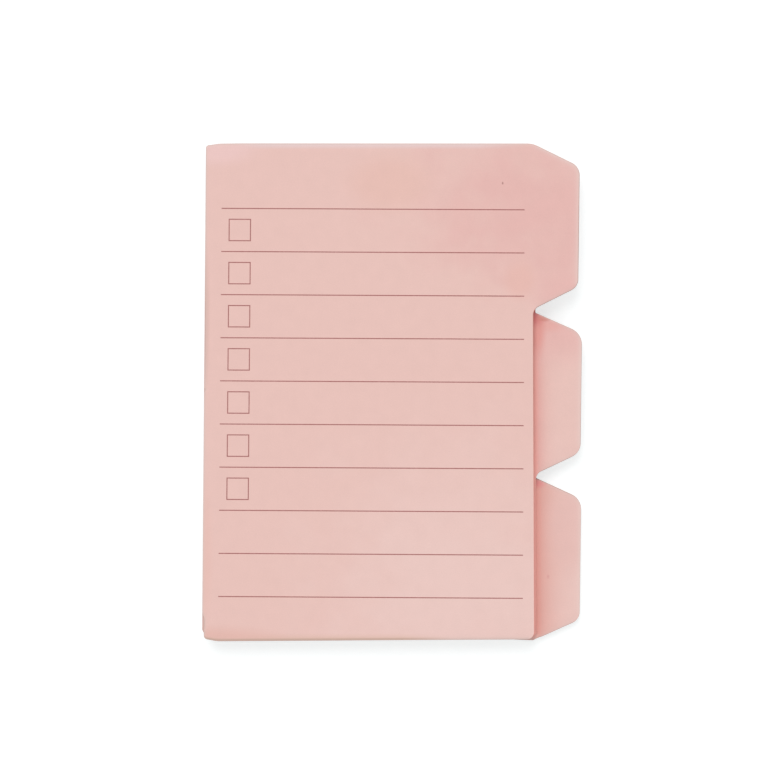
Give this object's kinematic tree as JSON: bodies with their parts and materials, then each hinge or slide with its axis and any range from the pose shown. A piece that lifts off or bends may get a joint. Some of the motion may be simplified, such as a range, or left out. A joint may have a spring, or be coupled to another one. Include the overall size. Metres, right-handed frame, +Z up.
{
  "type": "pack of sticky index notes",
  "caption": "Flat pack of ruled sticky notes in stacked pads, each pad's sheets with an index tab on the right edge in its own third of the height.",
  "frame": {"origin": "centre of the pack's overall rectangle, on the plane that it lies on", "axes": "+Z up through the stack, +Y from the foot of a sheet to its head, +X from the gummed edge to the tabs"},
  "size_m": [0.0764, 0.1, 0.006],
  "materials": {
    "note_paper": "uncoated pink note paper",
    "backing_card": "uncoated off-white card"
  },
  "bodies": {
    "root": {"first_pad": "note_paper", "second_pad": "note_paper", "third_pad": "note_paper", "backing_card": "backing_card"}
  },
  "joints": []
}
